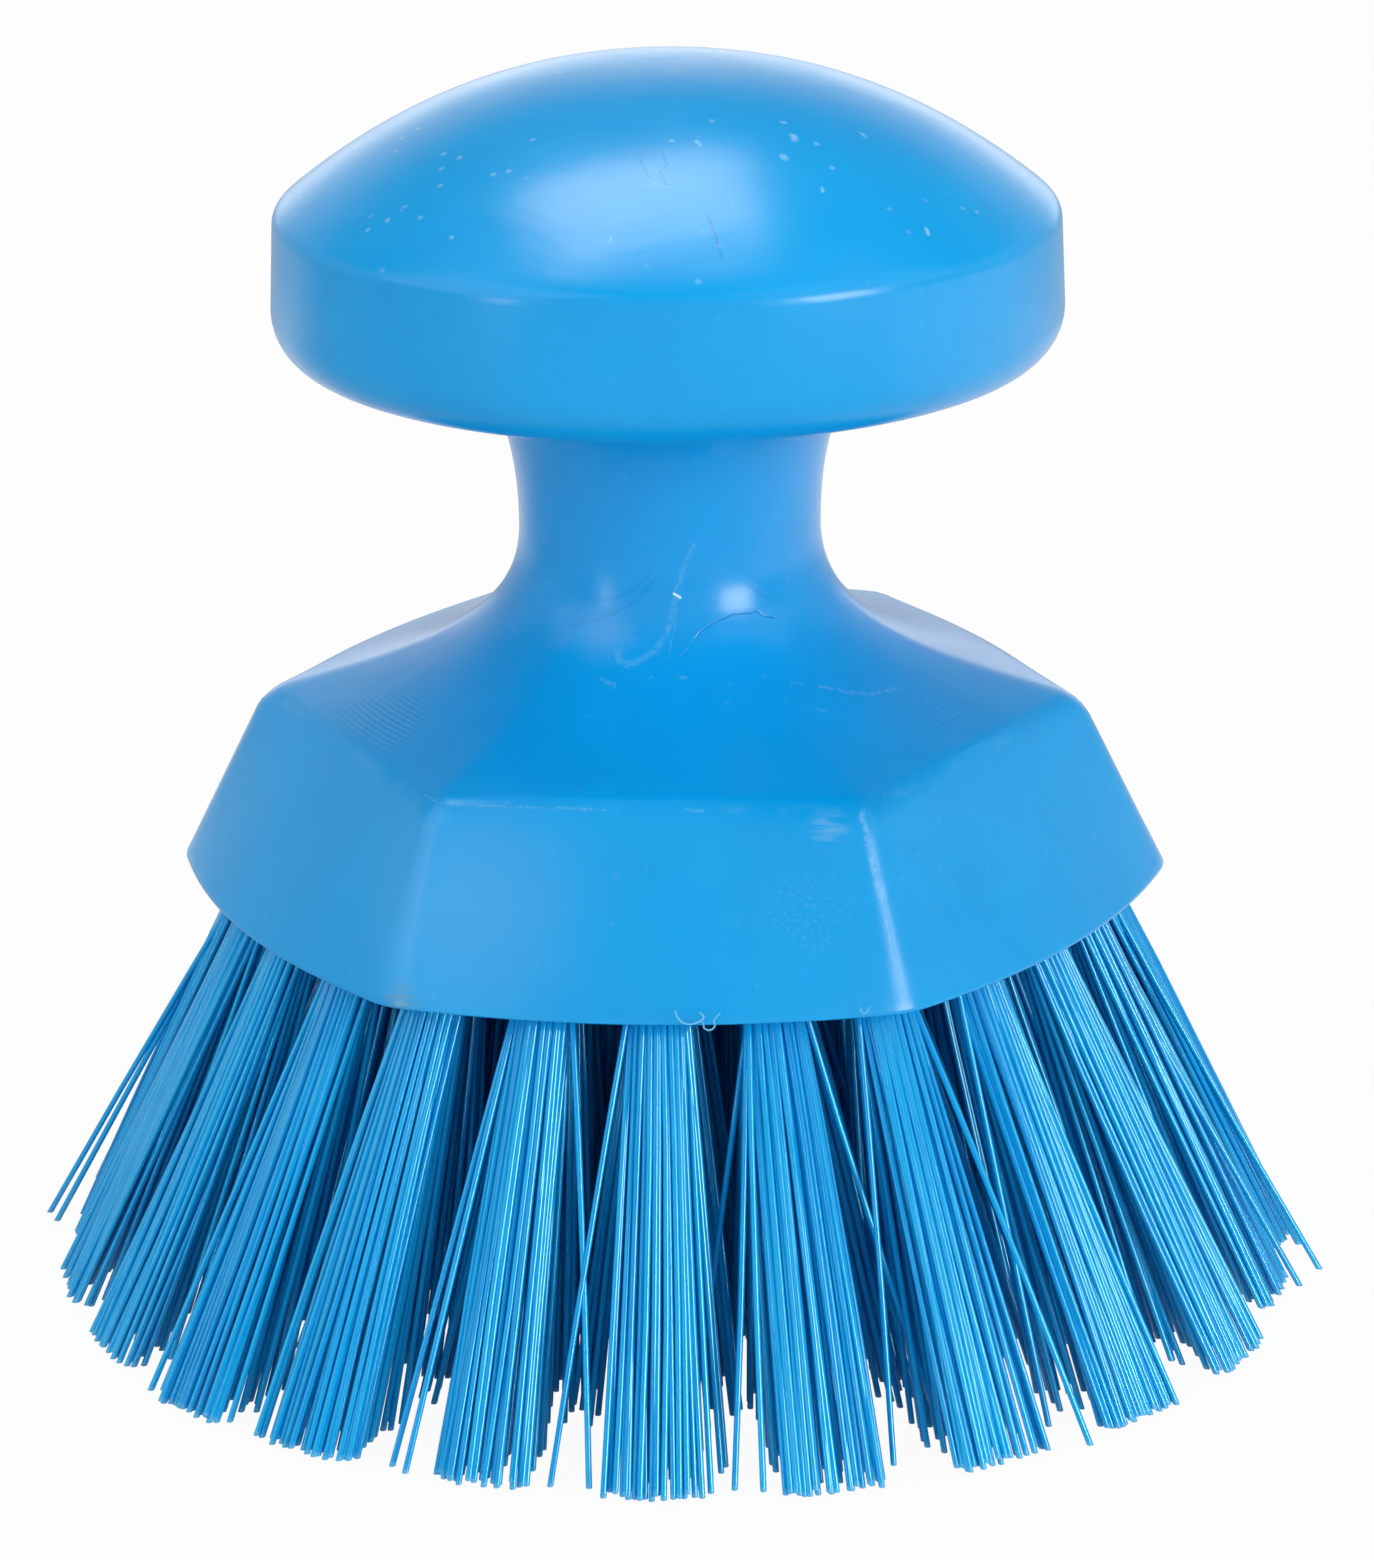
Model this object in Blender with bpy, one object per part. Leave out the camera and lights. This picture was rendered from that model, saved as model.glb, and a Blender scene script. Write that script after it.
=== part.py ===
"""Round scrub brush: one moulded handle block with a domed knob, set with tufts of stiff bristle that fan outwards.

Sizes are in metres and +Z is up. The origin is the middle of the plane on which the trimmed tips stand, and one
corner of the six-sided block points along +X.
"""

import math

import bmesh
import bpy
from mathutils import Matrix, Vector

# Bristle field: rings of holes that all point away from one centre above the block
OUTER_RING_RADIUS = 0.0350
INNER_RING_RADIUS = 0.0076
FAN_SPREAD = 0.0150
BRISTLE_REACH = 0.0342
RING_TURN = math.radians(1.5)  # of every ring, against the corners of the block
RINGS = (("outer", 24, 8), ("second", 18, 7), ("third", 12, 6), ("inner", 4, 6))  # name, tufts, strands in each

# One tuft: its strands leave a packed root, spread, and are cut flat where the brush stands
STRAND_ROOT_RADIUS = 0.0006
STRAND_TIP_RADIUS = 0.0010
STRAND_SIDES = 3
STRAND_SEAT = 0.0012
STRAND_COVER = 0.0001
TIP_GAP = 0.0020
ROOT_PROUD = 0.0006
TRIM_DEPTH = 0.0005

# Hole and anchor: a flat strip bites into the wall of the hole, and the tuft is folded round it
HOLE_RADIUS = 0.0025
HOLE_DEPTH = 0.0060
HOLE_SIDES = 10
ROOT_CLEARANCE = 0.0003
ANCHOR_THICKNESS = 0.0004
ANCHOR_HEIGHT = 0.0018
ANCHOR_BITE = 0.0005
ANCHOR_CLEARANCE = 0.0003
FOLD_THICKNESS = 0.0008
CUT_OVERRUN = 0.0010

# Block: six bowed sides that lean in from the underside to the rim
BLOCK_SIDES = 6
EDGE_WALL = 0.0026
SIDE_LEAN = 0.0074
BLOCK_SIDE_HEIGHT = 0.0150
BASE_BOW_SHARE = 0.58
RIM_BOW_SHARE = 0.03
CORNER_ROUNDING = 0.0020
BASE_ROUNDING = 0.0005
RIM_ROUNDING_AT_SIDES = 0.0004
RIM_ROUNDING_AT_CORNERS = 0.0020

# Top of the block: hollow facets that rise from the rim and fade into the round neck
COVE_RIM_RUN = 0.0134
COVE_RIM_RISE = 0.0040
COVE_NECK_PULL = 0.0090
COVE_FADE_HEIGHT = 0.0117
COVE_FADE_SHARE = 0.7
NECK_RADIUS = 0.0127
NECK_WAIST_HEIGHT = 0.0154

# Knob, with heights counted from the rim of the block
KNOB_BASE_HEIGHT = 0.0300
KNOB_ROOT_RADIUS = 0.0200
KNOB_ROOT_PULL = 0.0045
NECK_TOP_PULL = 0.0090
KNOB_RADIUS = 0.0330
KNOB_LOWER_ROUNDING = 0.0043
BAND_HEIGHT = 0.0124
BAND_LEAN = 0.0003
CREASE_ROUNDING = 0.0007
DOME_RISE = 0.0121
DOME_POWER_SHARE = 2.27

# Facets of the moulding
COLUMN_SHARES = (0.0, 0.03, 0.08, 0.16, 0.3, 0.5, 0.7, 0.84, 0.92, 0.97)  # of one side, crowded at its corners
SIDE_STEPS = 3
ROUNDING_STEPS = 3
COVE_STEPS = 8
NECK_STEPS = 7
KNOB_ROUNDING_STEPS = 5
DOME_STEPS = 7
SMOOTH_ANGLE = math.radians(35)

# Heights that follow from the sizes above
UNDERSIDE = BRISTLE_REACH
RIM = UNDERSIDE + BLOCK_SIDE_HEIGHT
WAIST = RIM + NECK_WAIST_HEIGHT
KNOB_BASE = RIM + KNOB_BASE_HEIGHT
CREASE = KNOB_BASE + BAND_HEIGHT
CREASE_RADIUS = KNOB_RADIUS - BAND_LEAN

# Bristle field: the rings stand evenly, and the tips of neighbouring rings keep a gap
RING_SPACING = (OUTER_RING_RADIUS - INNER_RING_RADIUS) / (len(RINGS) - 1)
OUTER_LEAN = math.atan2(FAN_SPREAD, BRISTLE_REACH)
FAN_CENTRE = Vector((0, 0, UNDERSIDE + OUTER_RING_RADIUS / math.tan(OUTER_LEAN)))
TIP_SPACING = RING_SPACING * (OUTER_RING_RADIUS + FAN_SPREAD) / OUTER_RING_RADIUS
TIP_SPREAD = (TIP_SPACING * math.cos(OUTER_LEAN) - TIP_GAP) / 2 - STRAND_TIP_RADIUS
ROOT_RADIUS = HOLE_RADIUS - ROOT_CLEARANCE
ROOT_SPREAD = ROOT_RADIUS - STRAND_ROOT_RADIUS - STRAND_COVER
ROOT_TOP = ROOT_CLEARANCE - HOLE_DEPTH
ANCHOR_MIDDLE = ROOT_TOP + FOLD_THICKNESS + ANCHOR_CLEARANCE + ANCHOR_HEIGHT / 2

# Outline of the block: the middle of a side keeps its wall outside the outer holes
SECTOR = math.tau / BLOCK_SIDES
COLUMNS = BLOCK_SIDES * len(COLUMN_SHARES)
BASE_MIDDLE_SHARE = math.cos(SECTOR / 2) + (1 - math.cos(SECTOR / 2)) * BASE_BOW_SHARE  # of the corner radius
BLOCK_BASE_CORNER = (OUTER_RING_RADIUS + HOLE_RADIUS + EDGE_WALL) / BASE_MIDDLE_SHARE
BLOCK_RIM_CORNER = BLOCK_BASE_CORNER - SIDE_LEAN


def clear_scene():
    for thing in list(bpy.data.objects):
        bpy.data.objects.remove(thing, do_unlink=True)


def plastic(name, color, roughness):
    """A plain moulded or drawn plastic"""
    material = bpy.data.materials.new(name)
    material.use_nodes = True
    shader = material.node_tree.nodes["Principled BSDF"]
    shader.inputs["Base Color"].default_value = (*color, 1)
    shader.inputs["Roughness"].default_value = roughness
    shader.inputs["Metallic"].default_value = 0
    return material


def mix(start, end, share):
    return start + (end - start) * share


def bezier(points, share):
    """The point at this share of the curve that the control points shape"""
    while len(points) > 1:
        points = [mix(first, second, share) for first, second in zip(points, points[1:])]
    return points[0]


def steps(count):
    """Even shares from 0 to 1"""
    return [step / count for step in range(count + 1)]


def add_object(name, shape, material=None):
    """A new object from this bmesh, which is freed"""
    mesh = bpy.data.meshes.new(name)
    shape.to_mesh(mesh)
    shape.free()
    if material:
        mesh.materials.append(material)
    made = bpy.data.objects.new(name, mesh)
    bpy.context.scene.collection.objects.link(made)
    return made


def boolean(target, tool, operation):
    """Cut the tool from the target, or join it on, and keep the tool out of the render"""
    modifier = target.modifiers.new(tool.name, "BOOLEAN")
    modifier.operation = operation
    modifier.solver = "EXACT"
    modifier.object = tool
    tool.hide_render = True
    tool.display_type = "WIRE"


def column_angle(column, bow_share):
    """Columns crowd at the corners of the hexagon, and stand evenly where the outline is round"""
    sector, place = divmod(column, len(COLUMN_SHARES))
    even = place / len(COLUMN_SHARES)
    return SECTOR * (sector + mix(COLUMN_SHARES[place], even, bow_share))


def nearness_to_corner(column):
    """1 on a corner of the block and 0 in the middle of a side"""
    share = COLUMN_SHARES[column % len(COLUMN_SHARES)]
    return abs(share - 0.5) * 2


def outline_point(column, corner_radius, bow_share, height):
    """A point of a level outline: a hexagon with rounded corners, bowed towards a circle by the share"""
    angle = column_angle(column, bow_share)
    off_corner = abs((angle + SECTOR / 2) % SECTOR - SECTOR / 2)
    face = corner_radius * math.cos(SECTOR / 2)
    rounding = min(CORNER_ROUNDING, face / 2)
    centre = (face - rounding) / math.cos(SECTOR / 2)
    round_end = math.atan2(rounding * math.sin(SECTOR / 2), centre + rounding * math.cos(SECTOR / 2))
    if off_corner < round_end:
        away = centre * math.sin(off_corner)
        radius = centre * math.cos(off_corner) + math.sqrt(rounding**2 - away**2)
    else:
        radius = face / math.cos(SECTOR / 2 - off_corner)
    radius = mix(radius, corner_radius, bow_share)
    return Vector((radius * math.cos(angle), radius * math.sin(angle), height))


def side_point(column, share):
    """A point on the leaning side, from the underside at 0 to the rim at 1"""
    corner_radius = mix(BLOCK_BASE_CORNER, BLOCK_RIM_CORNER, share)
    bow_share = mix(BASE_BOW_SHARE, RIM_BOW_SHARE, share)
    return outline_point(column, corner_radius, bow_share, mix(UNDERSIDE, RIM, share))


def cove_point(column, share):
    """A point on the hollow top, from the rim at 0 to the waist of the neck at 1"""
    curve = [
        Vector((BLOCK_RIM_CORNER, RIM)),
        Vector((BLOCK_RIM_CORNER - COVE_RIM_RUN, RIM + COVE_RIM_RISE)),
        Vector((NECK_RADIUS, WAIST - COVE_NECK_PULL)),
        Vector((NECK_RADIUS, WAIST)),
    ]
    corner_radius, height = bezier(curve, share)
    climbed = max(0, min(1, (height - RIM) / COVE_FADE_HEIGHT))
    return outline_point(column, corner_radius, mix(RIM_BOW_SHARE, 1, climbed**COVE_FADE_SHARE), height)


def round_point(column, radius, height):
    return outline_point(column, radius, 1, height)


def block_points(column):
    """Up one column of the block: lower rounding, side, rim rounding, then the cove to the waist"""
    base_share = BASE_ROUNDING / BLOCK_SIDE_HEIGHT
    reach = mix(RIM_ROUNDING_AT_SIDES, RIM_ROUNDING_AT_CORNERS, nearness_to_corner(column) ** 2)
    rim_share = 1 - reach / BLOCK_SIDE_HEIGHT
    cove_share = reach / (3 * math.hypot(COVE_RIM_RUN, COVE_RIM_RISE))
    lower_edge = [
        outline_point(column, BLOCK_BASE_CORNER - BASE_ROUNDING, BASE_BOW_SHARE, UNDERSIDE),
        side_point(column, 0),
        side_point(column, base_share),
    ]
    rim_edge = [side_point(column, rim_share), side_point(column, 1), cove_point(column, cove_share)]
    points = [bezier(lower_edge, share) for share in steps(ROUNDING_STEPS)]
    points += [side_point(column, mix(base_share, rim_share, share)) for share in steps(SIDE_STEPS)[1:-1]]
    points += [bezier(rim_edge, share) for share in steps(ROUNDING_STEPS)]
    points += [cove_point(column, mix(cove_share, 1, share)) for share in steps(COVE_STEPS)[1:]]
    return points


def knob_points(column):
    """Up one column from the waist: flare, lower rounding, band, crease and dome, short of the middle"""
    flare = [
        Vector((NECK_RADIUS, WAIST)),
        Vector((NECK_RADIUS, WAIST + NECK_TOP_PULL)),
        Vector((KNOB_ROOT_RADIUS - KNOB_ROOT_PULL, KNOB_BASE)),
        Vector((KNOB_ROOT_RADIUS, KNOB_BASE)),
    ]
    profile = [bezier(flare, share) for share in steps(NECK_STEPS)[1:]]
    middle = Vector((KNOB_RADIUS - KNOB_LOWER_ROUNDING, KNOB_BASE + KNOB_LOWER_ROUNDING))
    for share in steps(KNOB_ROUNDING_STEPS):
        turn = math.pi / 2 * share
        profile.append(middle + KNOB_LOWER_ROUNDING * Vector((math.sin(turn), -math.cos(turn))))
    dome_start = 1 - CREASE_ROUNDING / CREASE_RADIUS
    crease_edge = [Vector((CREASE_RADIUS, CREASE - CREASE_ROUNDING)), Vector((CREASE_RADIUS, CREASE)), dome(dome_start)]
    profile += [bezier(crease_edge, share) for share in steps(ROUNDING_STEPS)]
    profile += [dome(mix(dome_start, 0, share)) for share in steps(DOME_STEPS)[1:-1]]
    return [round_point(column, radius, height) for radius, height in profile]


def dome(share):
    """Profile of the dome, at this share of the crease radius"""
    return Vector((CREASE_RADIUS * share, CREASE + DOME_RISE * (1 - share**DOME_POWER_SHARE)))


def handle_shape():
    """The whole moulding, lofted ring by ring from the underside to the top of the dome"""
    shape = bmesh.new()
    columns = []
    for column in range(COLUMNS):
        places = block_points(column) + knob_points(column)
        columns.append([shape.verts.new(place) for place in places])
    top = shape.verts.new((0, 0, dome(0)[1]))
    for here, following in zip(columns, columns[1:] + columns[:1]):
        for level in range(len(here) - 1):
            shape.faces.new((here[level], following[level], following[level + 1], here[level + 1]))
        shape.faces.new((here[-1], following[-1], top))
    shape.faces.new([column[0] for column in reversed(columns)])
    return shape


def tuft_frame(ring_radius, turn=0):
    """Where a tuft sits: origin in the mouth of its hole, +Z out along the bristles, Y level"""
    hole = Vector((ring_radius, 0, UNDERSIDE))
    along = (hole - FAN_CENTRE).normalized()
    level = Vector((0, 1, 0))
    frame = Matrix((level.cross(along), level, along)).transposed().to_4x4()
    frame.translation = hole
    return Matrix.Rotation(turn, 4, "Z") @ frame


def add_prism(shape, frame, radius, low, high):
    """A prism with the sides of a hole, from low to high along the frame's Z"""
    place = frame @ Matrix.Translation((0, 0, (low + high) / 2))
    bmesh.ops.create_cone(
        shape, cap_ends=True, segments=HOLE_SIDES, radius1=radius, radius2=radius, depth=high - low, matrix=place
    )


def add_block(shape, frame, size, height):
    """A box of this size, centred at this height on the frame's Z"""
    place = frame @ Matrix.Translation((0, 0, height)) @ Matrix.Diagonal((*size, 1))
    bmesh.ops.create_cube(shape, size=1, matrix=place)


def ring_places():
    """Name, radius, strand count and turns of each ring of tufts, the rings standing in step by halves"""
    for order, (name, tufts, strands) in enumerate(RINGS):
        start = order % 2 / 2
        turns = [RING_TURN + math.tau * (start + tuft) / tufts for tuft in range(tufts)]
        yield name, OUTER_RING_RADIUS - order * RING_SPACING, strands, turns


def make_handle(material):
    """The moulding with its drilled holes, and the strip that crosses each one"""
    handle = add_object("handle_block", handle_shape(), material)
    holes = bmesh.new()
    anchors = bmesh.new()
    strip = (ANCHOR_THICKNESS, (HOLE_RADIUS + ANCHOR_BITE) * 2, ANCHOR_HEIGHT)
    for _, radius, _, turns in ring_places():
        for turn in turns:
            frame = tuft_frame(radius, turn)
            add_prism(holes, frame, HOLE_RADIUS, -HOLE_DEPTH, HOLE_RADIUS + CUT_OVERRUN)
            add_block(anchors, frame, strip, ANCHOR_MIDDLE)
    boolean(handle, add_object("hole_cutter", holes), "DIFFERENCE")
    boolean(handle, add_object("anchor_strips", anchors), "UNION")
    handle.data.shade_smooth()
    handle.data.set_sharp_from_angle(angle=SMOOTH_ANGLE)
    return handle


def add_strand(shape, frame, heading, root_spread, tip_spread):
    """One strand, which widens from inside the root to just past the resting plane, with an edge facing inwards"""
    reach = UNDERSIDE / -frame.col[2].z
    spread = Vector((math.cos(heading), math.sin(heading), 0))
    mouth = frame @ (spread * root_spread)
    tip = frame @ (spread * tip_spread + Vector((0, 0, reach)))
    course = tip - mouth
    start = mouth + course * ((ROOT_PROUD - STRAND_SEAT) / reach)
    end = mouth + course * ((mouth.z + TRIM_DEPTH) / -course.z)
    rings = []
    for middle, radius in ((start, STRAND_ROOT_RADIUS), (end, STRAND_TIP_RADIUS)):
        ring = []
        for side in range(STRAND_SIDES):
            turn = heading + math.pi + math.tau * side / STRAND_SIDES
            corner = Vector((math.cos(turn), math.sin(turn), 0)) * radius
            ring.append(shape.verts.new(middle + frame.to_3x3() @ corner))
        rings.append(ring)
    low, high = rings
    shape.faces.new(reversed(low))
    shape.faces.new(high)
    for side in range(STRAND_SIDES):
        after = (side + 1) % STRAND_SIDES
        shape.faces.new((low[side], low[after], high[after], high[side]))


def trim_flat(shape):
    """Cut off all that reaches below the resting plane, and close the ends"""
    everything = shape.verts[:] + shape.edges[:] + shape.faces[:]
    cut = bmesh.ops.bisect_plane(shape, geom=everything, plane_co=(0, 0, 0), plane_no=(0, 0, 1), clear_inner=True)
    edges = [piece for piece in cut["geom_cut"] if isinstance(piece, bmesh.types.BMEdge)]
    bmesh.ops.holes_fill(shape, edges=edges)


def strands_shape(frame, count):
    """One strand in the middle, and the rest in a circle round it that widens towards the tips"""
    shape = bmesh.new()
    add_strand(shape, frame, 0, 0, 0)
    for strand in range(count - 1):
        heading = math.pi + math.tau * strand / (count - 1)
        add_strand(shape, frame, heading, ROOT_SPREAD, TIP_SPREAD)
    trim_flat(shape)
    bmesh.ops.recalc_face_normals(shape, faces=shape.faces)
    return shape


def tuft_mesh(name, ring_radius, strands, material):
    """A tuft at the ring's first place: packed root, slot for the anchor, and trimmed strands"""
    frame = tuft_frame(ring_radius)
    root_shape = bmesh.new()
    add_prism(root_shape, frame, ROOT_RADIUS, ROOT_TOP, ROOT_PROUD)
    root = add_object(name, root_shape, material)
    slot_shape = bmesh.new()
    slot = (
        ANCHOR_THICKNESS + 2 * ANCHOR_CLEARANCE,
        2 * (ROOT_RADIUS + CUT_OVERRUN),
        ANCHOR_HEIGHT + 2 * ANCHOR_CLEARANCE,
    )
    add_block(slot_shape, frame, slot, ANCHOR_MIDDLE)
    helpers = [root, add_object("anchor_slot", slot_shape), add_object("loose_strands", strands_shape(frame, strands))]
    boolean(root, helpers[1], "DIFFERENCE")
    boolean(root, helpers[2], "UNION")
    seen = root.evaluated_get(bpy.context.evaluated_depsgraph_get())
    mesh = bpy.data.meshes.new_from_object(seen)
    for helper in helpers:
        bpy.data.objects.remove(helper, do_unlink=True)
    return mesh


def make_tufts(material):
    """Every tuft is its own object. The tufts of one ring share a mesh, turned about the brush's axis."""
    for name, radius, strands, turns in ring_places():
        mesh = tuft_mesh(name, radius, strands, material)
        for order, turn in enumerate(turns):
            tuft = bpy.data.objects.new(f"{name}_tuft_{order + 1:02d}", mesh)
            tuft.rotation_euler.z = turn
            bpy.context.scene.collection.objects.link(tuft)


def main():
    clear_scene()
    make_handle(plastic("moulded_blue", (0.012, 0.285, 0.74), 0.32))
    make_tufts(plastic("bristle_blue", (0.010, 0.240, 0.72), 0.28))


main()
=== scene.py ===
import math
import random

import bmesh
import bpy
from mathutils import Matrix, Vector


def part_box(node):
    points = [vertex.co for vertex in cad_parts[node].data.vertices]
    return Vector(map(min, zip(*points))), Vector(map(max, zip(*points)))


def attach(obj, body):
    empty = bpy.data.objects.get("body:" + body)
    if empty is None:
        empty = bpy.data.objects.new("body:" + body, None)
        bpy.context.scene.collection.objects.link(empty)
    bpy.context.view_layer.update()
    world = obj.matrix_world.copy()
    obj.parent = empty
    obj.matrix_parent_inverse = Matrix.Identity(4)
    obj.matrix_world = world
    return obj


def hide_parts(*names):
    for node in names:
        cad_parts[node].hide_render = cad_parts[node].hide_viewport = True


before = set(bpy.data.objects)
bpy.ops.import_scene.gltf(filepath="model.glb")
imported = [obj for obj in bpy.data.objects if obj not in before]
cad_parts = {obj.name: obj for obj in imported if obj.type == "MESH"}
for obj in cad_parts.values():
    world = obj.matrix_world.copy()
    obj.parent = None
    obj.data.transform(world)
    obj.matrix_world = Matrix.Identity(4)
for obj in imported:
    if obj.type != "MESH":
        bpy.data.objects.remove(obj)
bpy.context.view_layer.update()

MM = 0.001

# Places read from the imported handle
HANDLE_LOW, HANDLE_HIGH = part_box("handle_block")
UNDERSIDE = HANDLE_LOW.z
TOP = HANDLE_HIGH.z

# Block, in metres: six bowed sides that lean in from the underside to the rim
SIDES = 6
SECTOR = math.tau / SIDES
BASE_CORNER = HANDLE_HIGH.x
RIM_CORNER = BASE_CORNER - 0.0074
RIM = UNDERSIDE + 0.0150
BASE_BOW = 0.58
RIM_BOW = 0.03
CORNER_ROUNDING = 0.0020
BASE_ROUNDING = 0.0005
RIM_ROUNDING_AT_SIDES = 0.0007
RIM_ROUNDING_AT_CORNERS = 0.0020
ROUNDING_SEGMENTS = 4
RIM_CLEARING = 0.0023
SIDE_SEGMENTS = 30
CORNER_SEGMENTS = 2
SIDE_RINGS = 12
SHARP_EDGE = math.radians(50)

# Hollow top facets, from the rim to the waist of the neck
COVE_RIM_RUN = 0.0134
COVE_RIM_RISE = 0.0040
COVE_NECK_PULL = 0.0090
COVE_FADE_HEIGHT = 0.0117
COVE_FADE_POWER = 0.38
COVE_RINGS = 32
NECK_RADIUS = 0.0127
WAIST = RIM + 0.0154

# Knob
KNOB_BASE = RIM + 0.0300
KNOB_ROOT_RADIUS = 0.0200
KNOB_ROOT_PULL = 0.0045
NECK_TOP_PULL = 0.0090
FLARE_RINGS = 16
KNOB_RADIUS = 0.0330
KNOB_LOWER_ROUNDING = 0.0043
LOWER_ROUNDING_RINGS = 10
CREASE = KNOB_BASE + 0.0124
CREASE_RADIUS = KNOB_RADIUS - 0.0003
CREASE_ROUNDING = 0.0009
CREASE_RINGS = 5
DOME_POWER = 2.27
DOME_RINGS = 34

# Bristle field: rings of holes that lean away from one centre, with name, tufts and filaments a tuft
RINGS = (("outer", 24, 58), ("second", 18, 60), ("third", 12, 60), ("inner", 4, 54))
OUTER_RING_RADIUS = 0.0350
INNER_RING_RADIUS = 0.0076
RING_SPACING = (OUTER_RING_RADIUS - INNER_RING_RADIUS) / (len(RINGS) - 1)
FAN_SPREAD = 0.0150
RING_TURN = math.radians(1.5)
FAN_CENTRE = Vector((0, 0, UNDERSIDE * (1 + OUTER_RING_RADIUS / FAN_SPREAD)))
HOLE_RADIUS = 0.0025
HOLE_DEPTH = 0.0060
HOLE_SIDES = 24
CUT_OVERRUN = 0.0010
ANCHOR_SIZE = (0.0004, 0.0060, 0.0018)
ANCHOR_ROUNDING = ANCHOR_SIZE[0] / 4
ANCHOR_MIDDLE = -0.0037

# Filament and its place in a tuft: reaches are outwards and sideways, from the middle of the tuft
FILAMENT_RADIUS = 0.00026
FILAMENT_SIDES = 8
FILAMENT_SEGMENTS = 3
FILAMENT_SHARP_EDGE = math.radians(70)
ROOT_DEPTH = 0.0025
ROOT_REACH = (0.0016, 0.0022)
TIP_REACH = {
    "outer": (0.0048, 0.0042),
    "second": (0.0058, 0.0072),
    "third": (0.0062, 0.0076),
    "inner": (0.0065, 0.0080),
}
TIP_SQUARENESS = 4
GOLDEN_ANGLE = math.pi * (3 - math.sqrt(5))
WIDEST = 0.0552
WIDEST_ASIDE_SHARE = 1 / 8
TINY = 1e-5

# Layer of filaments side by side on the outer face: their number, and shares of the reach of the tuft
FACE_FILAMENTS = 18
FACE_WIDTH_SHARE = 0.96
FACE_CROWN_SHARE = 0.2
FACE_SET_BACK_SHARE = 0.2
ROOT_TO_TIP_SET_BACK = 3

# Chance, by which no two tufts or filaments are alike
SEED = 58
FACE_SCATTER_SHARE = 0.02
TURN_SCATTER = 0.12
TUFT_SCATTER = 0.0002
TIP_SCATTER = 0.00018
FAN_VARIETY = (0.96, 1.04)
BEND = 0.0004
CUT_UNEVENNESS = 0.0007
CUT_MODE_SHARE = 0.1
STRAY_CHANCE = 0.05
STRAY_FROM_SHARE = 0.5
STRAY_FAN = (1.2, 1.6)

# Single filaments that leave their tuft: sideways at the mouth, then outwards and sideways at the tip,
# in millimetres
STRAYS = {
    "outer_tuft_13": ((2.4, 5.6, -1.2), (0.5, 4.6, -0.2)),
    "outer_tuft_16": ((-2.3, -0.4, -6.6), (-2.2, 4.9, -4.6), (-1.7, 5.4, -2.6)),
    "outer_tuft_17": ((-2.4, 4.3, -6.2), (-2.3, 4.0, -5.9)),
    "outer_tuft_18": ((-2.1, 4.0, -7.3), (-2.0, 4.6, -6.0), (2.3, 2.9, 8.8)),
    "outer_tuft_19": ((-2.3, 2.7, -8.3), (2.3, -1.2, 5.5), (2.0, 0.5, 5.2)),
    "outer_tuft_20": ((-2.0, -6.7, -9.0), (-2.3, 3.2, -7.7), (-2.1, 4.2, -5.6), (2.3, -2.4, 10.9)),
    "outer_tuft_21": ((-2.4, 2.2, -8.3), (2.0, 5.8, 8.0)),
    "outer_tuft_22": ((2.3, 5.0, 2.1), (-2.2, 1.5, -7.0)),
    "outer_tuft_24": ((-0.8, 6.1, 0.7),),
    "outer_tuft_01": ((-0.8, 6.0, -9.1), (-1.3, 4.2, -3.3)),
}

# How far the tip end of a tuft sits off its place, outwards and sideways, and how much wider it fans, in
# millimetres
TUFT_LEANS = {
    "outer_tuft_01": (-1.2, 0.0, -0.4),
    "outer_tuft_02": (-1.0, 0.0, -0.3),
    "outer_tuft_12": (-1.3, -0.4, -0.5),
    "outer_tuft_13": (-1.6, 0.0, -0.6),
    "outer_tuft_14": (-1.0, 0.6, -0.4),
    "outer_tuft_17": (0.0, -0.7, 0.0),
    "outer_tuft_19": (0.1, 0.3, 0.2),
    "outer_tuft_20": (0.3, 0.2, 0.4),
    "outer_tuft_21": (0.5, 0.2, 1.0),
    "outer_tuft_22": (0.6, 0.3, 1.2),
    "outer_tuft_23": (0.3, 0.0, 0.6),
    "outer_tuft_24": (-0.8, 0.0, -0.3),
}

# Shreds of flash at the lower edge of the front facet: depth and width, then x and z of each point,
# in millimetres
CURLS = (
    (-40.5, 0.15, (2.6, 35.8), (2.7, 35.35), (2.95, 35.0), (3.2, 34.8), (3.55, 34.69), (3.9, 34.7),
     (4.22, 34.81), (4.55, 34.93), (4.8, 35.14), (4.85, 35.35), (4.7, 35.56), (4.47, 35.71)),
    (-40.5, 0.15, (4.8, 34.95), (4.84, 34.4), (5.17, 34.19), (5.5, 34.28), (5.73, 34.54), (5.64, 35.05),
     (5.89, 35.39), (6.18, 35.73)),
    (-38.4, 0.13, (17.2, 35.5), (17.3, 35.1), (17.5, 34.95), (17.75, 35.15), (18.0, 35.6)),
)
CURL_SIDES = 6
CURL_TIP = 0.4

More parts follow.
